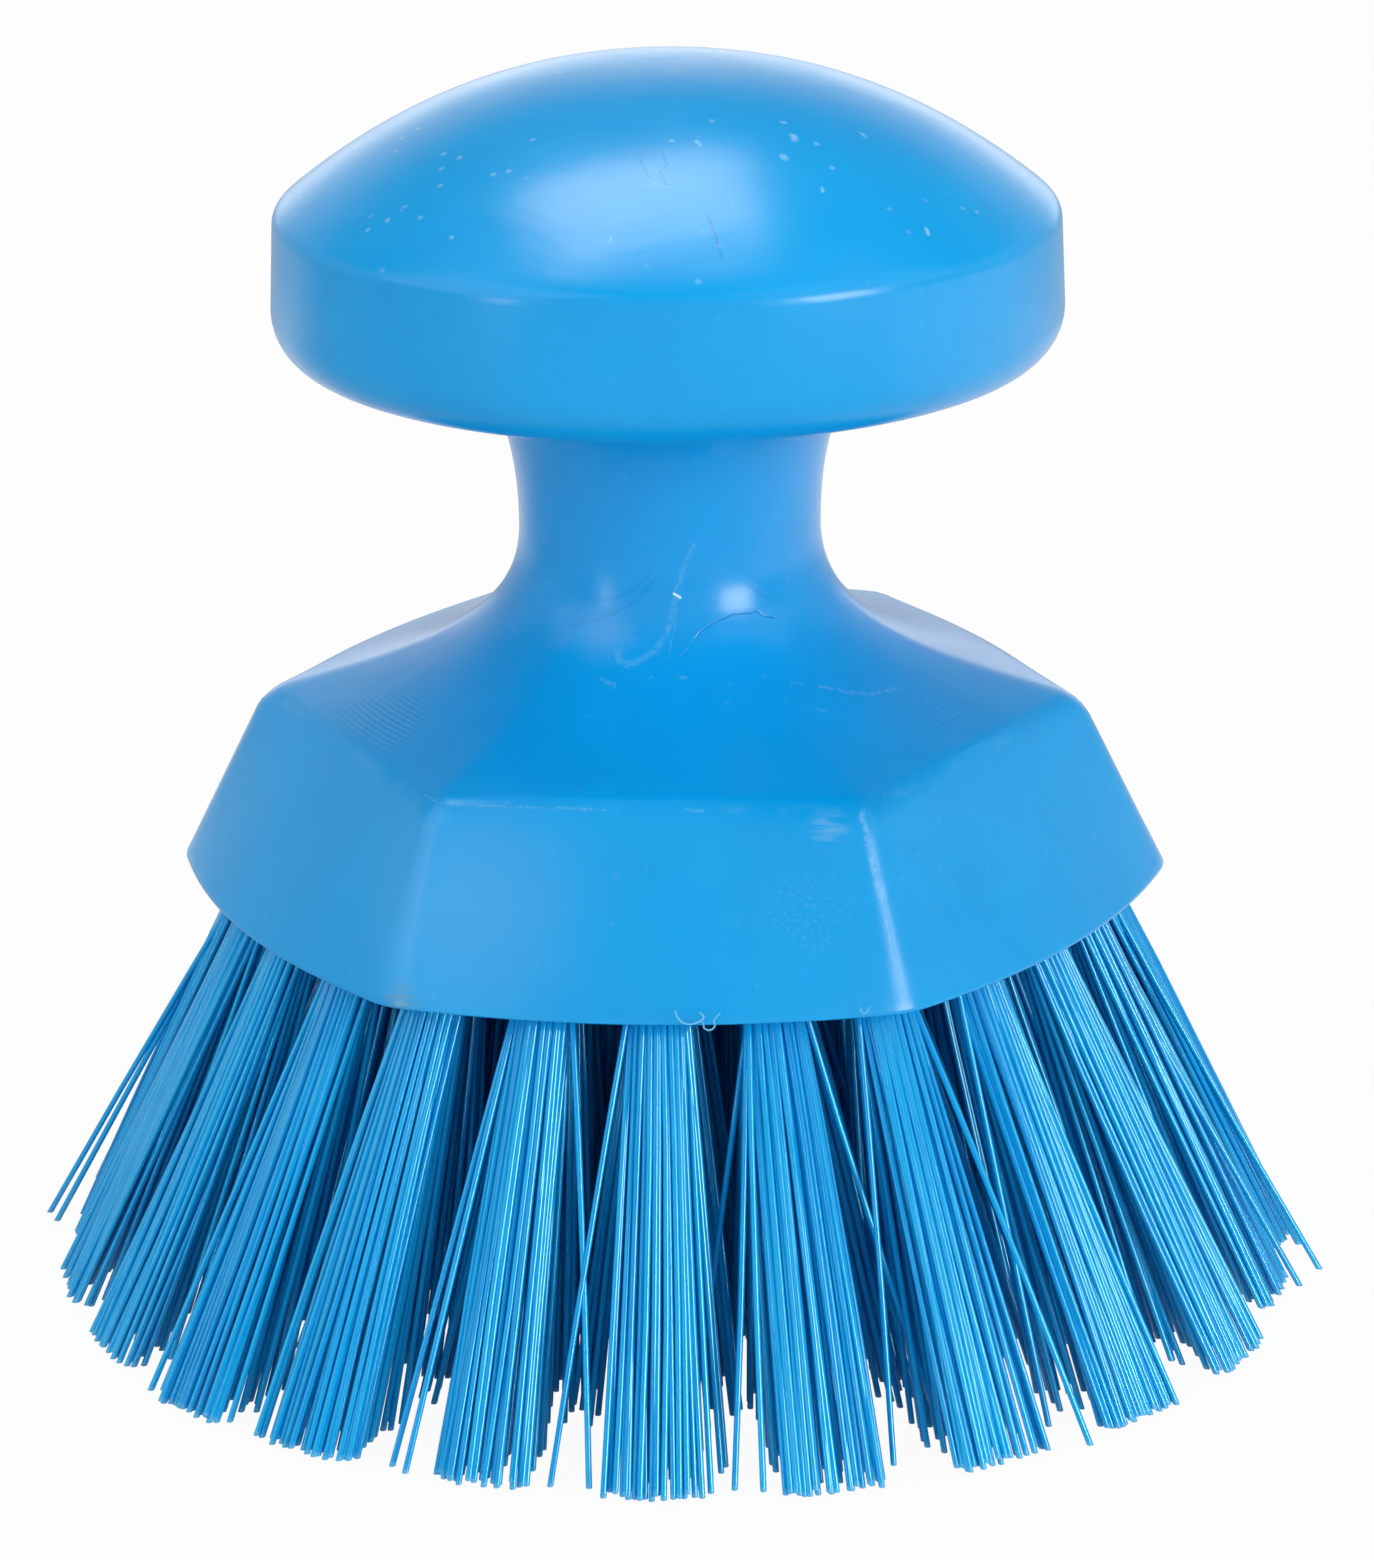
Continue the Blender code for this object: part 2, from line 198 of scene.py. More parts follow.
# Marks on the front of the moulding: width, then x and z of each point, in millimetres
FLOW_LINES = (
    (0.15, (-6.4, 61.1), (-5.1, 61.1), (-3.4, 61.55), (-2.0, 62.4), (-0.9, 63.5)),
    (0.15, (-7.6, 58.8), (-5.9, 59.4), (-4.2, 60.15), (-2.5, 61.05), (-1.3, 62.1), (-0.5, 63.1)),
    (0.13, (6.8, 62.4), (7.8, 61.45), (8.9, 60.6)),
    (0.12, (-2.9, 58.0), (-2.5, 58.6), (-1.8, 59.0)),
)
CRACK = (
    (0.10, (2.9, 58.5), (3.3, 59.0), (4.05, 59.4), (4.85, 59.8), (6.05, 60.05), (7.3, 59.95), (7.8, 60.05),
     (8.5, 59.55), (9.15, 59.3)),
)
# The two lines at the height of the rim are a painted highlight, the thin bright line of the rim's front
# edge; the others are pale marks
PALE_LINES_AND_RIM_HIGHLIGHT = (
    (0.42, (-3.5, 57.5), (-3.3, 56.9), (-2.6, 56.7), (-1.6, 57.0), (-0.4, 57.75), (0.4, 58.6), (0.9, 59.9),
     (1.2, 61.5)),
    (0.36, (1.35, 62.3), (1.8, 63.9), (2.3, 65.2), (2.75, 66.0)),
    (0.10, (0.6, 57.2), (1.0, 58.45), (1.35, 59.9)),
    (0.11, (1.7, 57.4), (2.5, 58.1), (3.0, 58.7)),
    (0.24, (-4.7, 55.7), (-3.6, 55.4)),
    (0.12, (-0.95, 55.8), (-0.55, 56.0)),
    (0.20, (1.5, 56.0), (2.3, 55.9)),
    (0.11, (10.9, 55.0), (11.7, 54.9)),
    (0.12, (12.9, 53.5), (13.9, 53.3)),
    (0.13, (13.0, 54.5), (15.4, 53.8), (17.4, 53.3), (19.4, 53.1)),
    (0.14, (-12.45, 57.4), (-12.35, 57.3)),
    (0.20, (3.0, 49.25), (4.4, 49.1)),
    (0.11, (-18.3, 49.35), (-11.0, 49.2), (-3.5, 49.15)),
)
# Pale line down the front-right corner: partly wear, partly a painted highlight of the edge that ends in a
# bright point at its foot
CORNER_WEAR_AND_HIGHLIGHT = (
    (0.36, (17.1, 48.9), (17.9, 45.5), (18.6, 43.0)),
    (0.12, (18.6, 43.0), (20.5, 35.2)),
    (0.28, (20.5, 35.5), (20.6, 35.2)),
)
CHIP = ((0.17, (1.15, 61.95), (1.6, 61.65)),)

# Marks on the dome: width, then x and y of each point, in millimetres
DOME_DARK = (
    (0.14, (4.7, -25.2), (5.2, -26.3), (6.0, -28.8)),
    (0.11, (-0.9, -19.7), (0.0, -21.7)),
    (0.11, (0.8, -18.7), (1.3, -20.3), (0.8, -21.1), (1.4, -22.5)),
)
DOME_PALE = (
    (0.13, (-0.3, -22.6), (0.5, -22.4), (1.7, -22.8)),
    (0.14, (6.3, -23.2), (6.8, -23.9)),
    (0.50, (11.1, -14.1), (11.2, -14.6)),
    (0.36, (10.1, -12.3), (10.3, -12.3)),
    (0.45, (10.4, -17.3), (10.5, -17.5)),
    (0.30, (3.5, -17.1), (3.8, -17.6)),
    (0.20, (13.5, -19.8), (13.6, -20.2)),
    (0.30, (21.8, -19.5), (21.9, -19.9)),
    (0.30, (16.4, -10.4), (16.7, -10.8)),
    (0.28, (-26.6, -9.8), (-26.6, -10.1)),
    (0.22, (-2.7, -27.6), (-2.7, -27.8)),
)

# How strong the marks are, and how they are drawn: the share of their width at full strength, and a wobble
FLOW_SHARE = 0.2
CRACK_SHARE = 0.42
DOME_DARK_SHARE = 0.45
PALE_SHARE = 0.24
CORNER_SHARE = 0.45
SPECKS_BELOW_DOME_SHARE = 0.12
MARK_CORE_SHARE = 0.15
MARK_WOBBLE = 0.0003

# Patches on the moulding: centre and radius, in millimetres. Those of the sheen are painted reflection, a
# pale sheen on the left of the front facet and at the front of the neck.
SCUFF = ((14.5, -31.2, 48.1), 2.2)
MOTTLE = ((13.0, -34.0, 42.0), 6.0)
# Painted reflection: a pale sheen laid into the colour, not a mark of the plastic
PAINTED_SHEEN_PATCHES = (((-14.0, -34.5, 42.0), 13.0), ((-4.5, -13.7, 58.6), 3.6))
MILLED = (((-25.0, -14.5, 51.0), 9.0), ((22.0, -13.5, 52.5), 8.0))
DIRT = ((-19.8, -36.9, 34.8), 2.4)

# Looks of the moulding: colours in linear light, and for each kind of wear, of painted sheen and of painted
# highlight, how much it covers and its colour
MOULDED_BLUES = (0.001, 0.350, 0.79, 1), (0.001, 0.375, 0.83, 1)
DARK_MARK = (0.001, 0.11, 0.42, 1)
CHIPPED = (0.75, 0.95, 0.95, 1)
PALE_WEAR_AND_HIGHLIGHT = 0.5, (0.42, 0.72, 0.92, 1)
SPECK_WEAR = 0.45, (0.45, 0.74, 0.93, 1)
SCUFF_WEAR = 0.22, (0.45, 0.72, 0.92, 1)
MOTTLE_WEAR = 0.10, (0.30, 0.62, 0.90, 1)
PAINTED_SHEEN = 0.13, (0.40, 0.60, 0.85, 1)
EDGE_WEAR = 0.06, (0.30, 0.66, 0.92, 1)
DIRT_WEAR = 0.6, (0.13, 0.27, 0.34, 1)
MOULDED_ROUGHNESS = (0.225, 0.265)
WORN_ROUGHNESS = 0.45
MOULDED_GLOSS = 0.62
SMALL_SPECKS = {"Scale": 700.0, "Size": 0.28, "Amount": 0.45}
LARGE_SPECKS = {"Scale": 260.0, "Size": 0.16, "Amount": 0.20}

# Relief of the moulding, in metres
GROOVE_PITCH = 0.00018
GROOVE_DEPTH = 0.000014
GRAIN_DEPTH = 0.00002
RIPPLE_DEPTH = 0.0004
CRACK_DEPTH = 0.00006

# Wear of the rim and of the lower edge: where it reaches, in metres
RIM_WEAR_HEIGHT = 0.0005
RIM_WEAR_DEPTH = 0.0006
BASE_WEAR_HEIGHT = 0.0004
BASE_WEAR_FROM = OUTER_RING_RADIUS + HOLE_RADIUS * 1.5
BASE_WEAR_SHARE = 0.5
EDGE_WEAR_REACH = (0.0001, 0.0004)

# Looks of the filaments, the shreds of flash and the anchors
BRISTLE_BLUES = (0.001, 0.33, 0.81, 1), (0.002, 0.43, 0.90, 1)
BRISTLE_IOR = 2.35
BRISTLE_SHEEN = (0.5, 1, 1, 1)
BRISTLE_ROUGHNESS = (0.07, 0.12)
CUT_END_WEAR = 0.35, (0.20, 0.52, 0.80, 1)
CUT_END_ROUGHNESS = 0.5
FLASH_BLUES = (0.05, 0.45, 0.84, 1), (0.30, 0.66, 0.92, 1)
FLASH_ROUGHNESS = (0.30, 0.45)
STEEL_GREYS = (0.42, 0.43, 0.45, 1), (0.62, 0.63, 0.63, 1)
STEEL_ROUGHNESS = (0.25, 0.42)

# Camera, at the place from which the photograph was taken: metres, with lens and sensor in millimetres
AZIMUTH = math.radians(3.42)
ELEVATION = math.radians(18.70)
ROLL = math.radians(0.49)
DISTANCE = 0.49779
AIM = Vector((0.001255, 0, 0.041381))
LENS = 152.5
SENSOR = 36

# Lamps: azimuth, which is 0 in front, and elevation, in degrees, then size in metres and brightness
SOFTBOXES = {
    "top_softbox": (-165, 73, (0.54, 0.44), 4.3),
    "right_softbox": (52, 14, (0.38, 0.36), 7.2),
    "left_softbox": (-64, 42, (0.90, 0.90), 0.7),
    "right_fill": (72, 44, (0.90, 0.90), 0.4),
    "left_strip": (-44, 8, (0.08, 0.35), 5.5),
}
SOFTBOX_AIM = Vector((0, 0, 0.08))
SOFTBOX_DISTANCE = 1.0

# Floor, in metres, and how reflections see it. A fade has its start, its end, and what it goes from and to.
FLOOR_SIZE = 4
FLOOR_DROP = 0.0004
FLOOR_WHITE = (0.76, 0.76, 0.76, 1)
FLOOR_ROUGHNESS = 0.8
FLOOR_GLOW_SHARE = 0.95
FLOOR_SLANT = 0.5
FLOOR_FADE = (-0.07, 0.12, 0.30, 0.97)
FLOOR_BACK_FADE = (0.20, 0.34, 1.0, 0.58)

# World, by direction: the band, back and front that reflections see, and the light of the room
BAND_UPWARDS_FADE = (0.30, 0.58, 0.80, 0.15)
BAND_RIGHT_FADE = (-0.2, 0.7, 1.0, 0.55)
BAND_LEFT_FADE = (-0.8, -0.35, 0.55, 1.0)
BACK_FADE = (0.84, 0.96)
BACK_UPWARDS_FADE = (0.05, 0.30, 1.0, 0.0)
FRONT_HEADING = (0.10, -0.97, 0.20)
DARK_FRONT_FADE = (-0.10, 0.55, 1.0, 0.08)
ROOM_FADE = (0.0, 0.95, 0.33, 1.12)
ROOM_UPWARDS_FADE = (0.50, 0.95, 1.0, 0.30)
ROOM_COLOR = (0.96, 0.98, 1.0, 1)
WHITE = (1, 1, 1, 1)


def mix(start, end, share):
    return start + (end - start) * share


def bezier(points, share):
    """The point at this share of the curve that the control points shape"""
    while len(points) > 1:
        points = [mix(first, second, share) for first, second in zip(points, points[1:])]
    return points[0]


def shares(count):
    """Even shares, from just after 0 up to 1"""
    return [step / count for step in range(1, count + 1)]


def deselect():
    if bpy.context.object and bpy.context.object.mode != "OBJECT":
        bpy.ops.object.mode_set(mode="OBJECT")
    bpy.ops.object.select_all(action="DESELECT")


def only(piece):
    """Leaves this piece alone selected and active"""
    deselect()
    piece.select_set(True)
    bpy.context.view_layer.objects.active = piece


def start_piece(name, add, **values):
    """A new primitive, named, and open in edit mode"""
    deselect()
    add(**values)
    piece = bpy.context.object
    piece.name = piece.data.name = name
    bpy.ops.object.mode_set(mode="EDIT")
    return piece


def pick(piece, kind, test):
    """Selects in edit mode the verts, edges or faces that pass the test, and nothing else"""
    bpy.ops.mesh.select_mode(type={"verts": "VERT", "edges": "EDGE", "faces": "FACE"}[kind])
    bpy.ops.mesh.select_all(action="DESELECT")
    shape = bmesh.from_edit_mesh(piece.data)
    for part in getattr(shape, kind):
        if test(part):
            part.select_set(True)
    shape.select_flush_mode()
    bmesh.update_edit_mesh(piece.data)


def settle(piece):
    """Puts the piece's place into its mesh, and leaves edit mode"""
    only(piece)
    bpy.ops.object.transform_apply(location=True, rotation=True, scale=True)


def face_outwards():
    """Turns the faces of the piece in edit mode outwards, and leaves edit mode"""
    bpy.ops.mesh.select_all(action="SELECT")
    bpy.ops.mesh.normals_make_consistent(inside=False)
    bpy.ops.object.mode_set(mode="OBJECT")


def apply_all(piece):
    only(piece)
    for modifier in list(piece.modifiers):
        bpy.ops.object.modifier_apply(modifier=modifier.name)


def add_object(name, data):
    """A new object with this data, in the scene"""
    made = bpy.data.objects.new(name, data)
    bpy.context.scene.collection.objects.link(made)
    return made


def object_from(name, shape):
    """A new object with the mesh of this bmesh, which is freed"""
    mesh = bpy.data.meshes.new(name)
    shape.to_mesh(mesh)
    shape.free()
    return add_object(name, mesh)


def bow_step(before, after, mean):
    """How far transform.tosphere takes an outline from one bow to the next, when its mean radius is this
    share of its corner radius"""
    left = (1 - after) / (1 - before)
    return (1 - left) / (1 - left + left * mean)


def mean_radius(piece):
    """Mean and greatest distance of the selected vertices from the axis"""
    shape = bmesh.from_edit_mesh(piece.data)
    radii = [vert.co.xy.length for vert in shape.verts if vert.select]
    return sum(radii) / len(radii), max(radii)


class Loft:
    """Draws a ring of a piece up or down from the selected one, with extrude, to-sphere and resize"""

    def __init__(self, piece, height, bow):
        self.piece = piece
        self.height = height
        self.bow = bow

    def ring(self, corner_radius, height, bow=1):
        bpy.ops.mesh.extrude_region_move(TRANSFORM_OT_translate={"value": (0, 0, height - self.height)})
        mean, greatest = mean_radius(self.piece)
        if bow > self.bow:
            amount = bow_step(self.bow, bow, mean / greatest)
            bpy.ops.transform.tosphere(value=amount)
            mean, greatest = mean_radius(self.piece)
        scale = corner_radius / greatest
        bpy.ops.transform.resize(value=(scale, scale, 1), center_override=(0, 0, height))
        self.height = height
        self.bow = max(bow, self.bow)


def cove_profile():
    """Corner radius, height and bow from the rim to the waist of the neck"""
    curve = [
        Vector((RIM_CORNER, RIM)),
        Vector((RIM_CORNER - COVE_RIM_RUN, RIM + COVE_RIM_RISE)),
        Vector((NECK_RADIUS, WAIST - COVE_NECK_PULL)),
        Vector((NECK_RADIUS, WAIST)),
    ]
    first = RIM_CLEARING / (3 * math.hypot(COVE_RIM_RUN, COVE_RIM_RISE))
    for share in [0] + shares(COVE_RINGS):
        radius, height = bezier(curve, mix(first, 1, share))
        climbed = max(0, min(1, (height - RIM) / COVE_FADE_HEIGHT))
        yield radius, height, mix(RIM_BOW, 1, climbed**COVE_FADE_POWER)


def dome(share):
    """Profile of the dome, at this share of the crease radius"""
    return Vector((CREASE_RADIUS * share, CREASE + (TOP - CREASE) * (1 - share**DOME_POWER)))


def knob_profile():
    """Radius and height from the waist to the ring round the top of the dome"""
    flare = [
        Vector((NECK_RADIUS, WAIST)),
        Vector((NECK_RADIUS, WAIST + NECK_TOP_PULL)),
        Vector((KNOB_ROOT_RADIUS - KNOB_ROOT_PULL, KNOB_BASE)),
        Vector((KNOB_ROOT_RADIUS, KNOB_BASE)),
    ]
    yield from (bezier(flare, share) for share in shares(FLARE_RINGS))
    middle = Vector((KNOB_RADIUS - KNOB_LOWER_ROUNDING, KNOB_BASE + KNOB_LOWER_ROUNDING))
    for share in [0] + shares(LOWER_ROUNDING_RINGS):
        turn = math.pi / 2 * share
        yield middle + KNOB_LOWER_ROUNDING * Vector((math.sin(turn), -math.cos(turn)))
    start = 1 - CREASE_ROUNDING / CREASE_RADIUS
    below = Vector((CREASE_RADIUS, CREASE - CREASE_ROUNDING))
    yield mix(middle + Vector((KNOB_LOWER_ROUNDING, 0)), below, 0.5)
    edge = [below, Vector((CREASE_RADIUS, CREASE)), dome(start)]
    yield from (bezier(edge, share) for share in [0] + shares(CREASE_RINGS))
    yield from (dome(mix(start, 0, share)) for share in shares(DOME_RINGS)[:-1])


def handle_rim(piece):
    """Turns the flat hexagon into the rim's outline, with rounded corners, even points and a slight bow"""
    bpy.ops.mesh.select_all(action="SELECT")
    run = CORNER_ROUNDING * math.tan(SECTOR / 2)
    bpy.ops.mesh.bevel(offset=run, offset_type="OFFSET", segments=CORNER_SEGMENTS, affect="VERTICES")
    pick(piece, "edges", lambda edge: edge.calc_length() > CORNER_ROUNDING * 2)
    bpy.ops.mesh.subdivide(number_cuts=SIDE_SEGMENTS - 1)
    bpy.ops.mesh.select_mode(type="FACE")
    bpy.ops.mesh.select_all(action="SELECT")
    bpy.ops.mesh.delete(type="ONLY_FACE")
    bpy.ops.mesh.select_mode(type="VERT")
    bpy.ops.mesh.select_all(action="SELECT")
    mean, greatest = mean_radius(piece)
    bpy.ops.transform.tosphere(value=bow_step(0, RIM_BOW, mean / greatest))
    scale = RIM_CORNER / mean_radius(piece)[1]
    bpy.ops.transform.resize(value=(scale, scale, 1), center_override=(0, 0, RIM))


def make_handle():
    """The moulding, drawn ring by ring from the rim, up to the top of the dome and down to the underside"""
    piece = start_piece(
        "handle", bpy.ops.mesh.primitive_circle_add, vertices=SIDES, radius=RIM_CORNER, fill_type="NGON",
        location=(0, 0, RIM), rotation=(0, 0, SECTOR / 2),
    )
    settle(piece)
    bpy.ops.object.mode_set(mode="EDIT")
    handle_rim(piece)
    loft = Loft(piece, RIM, RIM_BOW)
    for radius, height, bow in cove_profile():
        loft.ring(radius, height, bow)
    for radius, height in knob_profile():
        loft.ring(radius, height)
    bpy.ops.mesh.edge_face_add()
    bpy.ops.mesh.poke()

    pick(piece, "verts", lambda vert: abs(vert.co.z - RIM) < TINY)
    loft = Loft(piece, RIM, RIM_BOW)
    first = RIM_CLEARING / (RIM - UNDERSIDE)
    for share in [0] + shares(SIDE_RINGS):
        down = mix(first, 1, share)
        corner = mix(RIM_CORNER, BASE_CORNER, down)
        loft.ring(corner, mix(RIM, UNDERSIDE, down), mix(RIM_BOW, BASE_BOW, down))
    bpy.ops.mesh.edge_face_add()
    face_outwards()
    round_edges(piece)
    return piece


def round_edges(piece):
    """Bevels the rim, wider at the corners than along the sides, and the edge of the underside"""
    mesh = piece.data
    weights = mesh.attributes.new("bevel_weight_edge", "FLOAT", "EDGE").data
    for edge in mesh.edges:
        ends = [mesh.vertices[index].co for index in edge.vertices]
        middle = (ends[0] + ends[1]) / 2
        if all(abs(end.z - RIM) < TINY for end in ends):
            off_corner = abs((math.atan2(middle.y, middle.x) + SECTOR / 2) % SECTOR - SECTOR / 2)
            nearness = 1 - off_corner / (SECTOR / 2)
            weights[edge.index].value = mix(RIM_ROUNDING_AT_SIDES / RIM_ROUNDING_AT_CORNERS, 1, nearness**2)
        elif all(abs(end.z - UNDERSIDE) < TINY for end in ends):
            weights[edge.index].value = BASE_ROUNDING / RIM_ROUNDING_AT_CORNERS
    bevel = piece.modifiers.new("rounding", "BEVEL")
    bevel.width = RIM_ROUNDING_AT_CORNERS
    bevel.segments = ROUNDING_SEGMENTS
    bevel.limit_method = "WEIGHT"
    apply_all(piece)


def make_curl(name, depth, width, points, material):
    """A thin shred that hangs in front of the moulding, drawn from point to point out of a small polygon"""
    points = [Vector((across, depth, up)) * MM for across, up in points]
    runs = [second - first for first, second in zip(points, points[1:])]
    slants = [math.atan2(run.x, run.z) for run in runs]
    curl = start_piece(
        name, bpy.ops.mesh.primitive_circle_add, vertices=CURL_SIDES, radius=width / 2 * MM,
        fill_type="NGON", location=points[0], rotation=(0, slants[0], 0),
    )
    bpy.ops.mesh.select_all(action="SELECT")
    facing = slants[0]
    for run, slant, following, end in zip(runs, slants, slants[1:] + slants[-1:], points[1:]):
        bpy.ops.mesh.extrude_region_move(TRANSFORM_OT_translate={"value": run})
        turned = slant + math.remainder(following - slant, math.tau) / 2
        bpy.ops.transform.rotate(
            value=math.remainder(facing - turned, math.tau), orient_axis="Y", center_override=end,
        )
        facing = turned
    bpy.ops.transform.resize(value=(CURL_TIP, CURL_TIP, CURL_TIP), center_override=points[-1])
    face_outwards()
    settle(curl)
    curl.data.shade_smooth()
    curl.data.materials.append(material)
    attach(curl, "root")


def tuft_frame(ring_radius, turn):
    """Where a tuft sits: origin in the mouth of its hole, +Z along the filaments, -X outwards, Y level"""
    hole = Vector((ring_radius, 0, UNDERSIDE))
    along = (hole - FAN_CENTRE).normalized()
    level = Vector((0, 1, 0))
    place = Matrix((level.cross(along), level, along)).transposed().to_4x4()
    place.translation = hole
    return Matrix.Rotation(turn, 4, "Z") @ place


def tuft_places():
    """CAD node, frame and filament count of every tuft"""
    for order, (name, tufts, filaments) in enumerate(RINGS):
        radius = OUTER_RING_RADIUS - order * RING_SPACING
        for tuft in range(tufts):
            turn = RING_TURN + math.tau * (order % 2 / 2 + tuft) / tufts
            yield f"{name}_tuft_{tuft + 1:02d}", tuft_frame(radius, turn), filaments


def add_copy(shape, source, place):
    """Adds a copy of the source's mesh to the bmesh at this place, and returns its vertices"""
    before = len(shape.verts)
    shape.from_mesh(source.data)
    shape.verts.ensure_lookup_table()
    made = shape.verts[before:]
    bmesh.ops.transform(shape, matrix=place, verts=made)
    return made


def copy_to_tufts(name, source):
    """One piece with a copy of the source in every hole. The source is removed."""
    shape = bmesh.new()
    for _, place, _ in tuft_places():
        add_copy(shape, source, place)
    made = object_from(name, shape)
    bpy.data.objects.remove(source, do_unlink=True)
    return made


def drill(piece):
    """Cuts the blind holes for the tufts into the underside"""
    depth = HOLE_DEPTH + HOLE_RADIUS + CUT_OVERRUN
    middle = (HOLE_RADIUS + CUT_OVERRUN - HOLE_DEPTH) / 2
    bit = start_piece(
        "drill", bpy.ops.mesh.primitive_cylinder_add, vertices=HOLE_SIDES, radius=HOLE_RADIUS, depth=depth,
        location=(0, 0, middle),
    )
    settle(bit)
    bits = copy_to_tufts("drills", bit)
    cut = piece.modifiers.new("holes", "BOOLEAN")
    cut.object = bits
    cut.solver = "EXACT"
    apply_all(piece)
    bpy.data.objects.remove(bits, do_unlink=True)


def make_anchors():
    """The steel strip across each hole, round which the tuft is folded, with softened edges"""
    strip = start_piece("strip", bpy.ops.mesh.primitive_cube_add, size=1, location=(0, 0, ANCHOR_MIDDLE))
    bpy.ops.transform.resize(value=ANCHOR_SIZE)
    bpy.ops.mesh.bevel(offset=ANCHOR_ROUNDING, segments=2)
    settle(strip)
    return copy_to_tufts("anchor_strips", strip)


def make_filament():
    """One straight filament of unit length on +Z, drawn out of a small polygon"""
    filament = start_piece(
        "filament", bpy.ops.mesh.primitive_circle_add, vertices=FILAMENT_SIDES, radius=FILAMENT_RADIUS,
        fill_type="NGON",
    )
    bpy.ops.mesh.select_all(action="SELECT")
    for _ in range(FILAMENT_SEGMENTS):
        bpy.ops.mesh.extrude_region_move(TRANSFORM_OT_translate={"value": (0, 0, 1 / FILAMENT_SEGMENTS)})
    face_outwards()
    return filament


def lay_filament(shape, filament, root, tip, bend, turn):
    """Copies the filament from root to tip, bent a little aside, cuts its end level, and notes on each
    vertex how far along it lies"""
    run = shape.verts.layers.float["run"]
    along = (tip - root).normalized()
    aside = along.orthogonal().normalized()
    place = Matrix((aside, along.cross(aside), along)).transposed().to_4x4() @ Matrix.Rotation(turn, 4, "Z")
    place.translation = root
    length = (tip - root).length
    place = place @ Matrix.Diagonal((1, 1, length, 1))
    for vert in add_copy(shape, filament, place):
        share = (vert.co - root).dot(along) / length
        vert[run] = share
        vert.co += bend * (4 * share * (1 - share))
        if share > 1 - TINY:
            vert.co += along * ((tip.z - vert.co.z) / along.z)


def at_tip(place, outwards, sideways, cut):
    """The point at this height, so far outwards and sideways from the middle of the tuft, but kept within
    the widest"""
    reach = UNDERSIDE / -place.col[2].z
    middle = place @ Vector((0, 0, reach))
    out = middle.xy.normalized()
    spot = middle.xy + out * outwards + Vector((-out.y, out.x)) * sideways
    limit = WIDEST + abs(sideways) * WIDEST_ASIDE_SHARE
    if spot.length > limit:
        spot *= limit / spot.length
    return Vector((*spot, cut))


def tuft_packing(outer, filaments, luck):
    """Places of the filaments, outwards and sideways, at root and tip of a tuft that reaches 1 each way:
    packed like seeds, but squarer at the tip. On the outer ring some lie side by side on the outer face."""
    face = FACE_FILAMENTS if outer else 0
    for order in range(face):
        sideways = mix(-FACE_WIDTH_SHARE, FACE_WIDTH_SHARE, order / (face - 1))
        sideways += luck.uniform(-FACE_SCATTER_SHARE, FACE_SCATTER_SHARE)
        set_back = order % 2 * FACE_SET_BACK_SHARE
        at_root = math.sqrt(1 - sideways**2) - set_back
        at_end = 1 - FACE_CROWN_SHARE * sideways**4 - set_back / ROOT_TO_TIP_SET_BACK
        yield (at_root, sideways), (at_end, sideways)
    for order in range(filaments - face):
        turn = order * GOLDEN_ANGLE + luck.uniform(-TURN_SCATTER, TURN_SCATTER)
        off = math.sqrt((order + 0.5) / (filaments - face))
        outwards, sideways = off * math.cos(turn), off * math.sin(turn)
        powers = abs(math.cos(turn)) ** TIP_SQUARENESS + abs(math.sin(turn)) ** TIP_SQUARENESS
        squarer = powers ** (-1 / TIP_SQUARENESS)
        yield (outwards, sideways), (outwards * squarer, sideways * squarer)


def tuft_courses(name, place, filaments, luck):
    """Root and tip of each filament, packed at the root and fanned at the tip, with strays last"""
    lean_out, lean_side, wider = (value * MM for value in TUFT_LEANS.get(name, (0, 0, 0)))
    lean_out += luck.gauss(0, TUFT_SCATTER)
    lean_side += luck.gauss(0, TUFT_SCATTER)
    ring = name.split("_")[0]
    fan_out, fan_side = (reach * luck.uniform(*FAN_VARIETY) for reach in TIP_REACH[ring])
    for (root_out, root_side), (outwards, sideways) in tuft_packing(ring == "outer", filaments, luck):
        mouth = place @ Vector((-root_out * ROOT_REACH[0], root_side * ROOT_REACH[1], 0))
        stray = name not in STRAYS and luck.random() < STRAY_CHANCE and abs(root_side) > STRAY_FROM_SHARE
        fan = luck.uniform(*STRAY_FAN) if stray else 1
        tip = at_tip(
            place,
            lean_out + outwards * (fan_out + wider) + luck.gauss(0, TIP_SCATTER),
            lean_side + sideways * fan_side * fan + luck.gauss(0, TIP_SCATTER),
            luck.triangular(0, 1, CUT_MODE_SHARE) * CUT_UNEVENNESS,
        )
        yield mouth - (tip - mouth).normalized() * ROOT_DEPTH, tip
    for mouth_side, tip_out, tip_side in STRAYS.get(name, ()):
        mouth = place @ Vector((-ROOT_REACH[0] / 2, mouth_side * MM, 0))
        tip = at_tip(place, tip_out * MM, tip_side * MM, luck.uniform(0, CUT_UNEVENNESS))
        yield mouth - (tip - mouth).normalized() * ROOT_DEPTH, tip


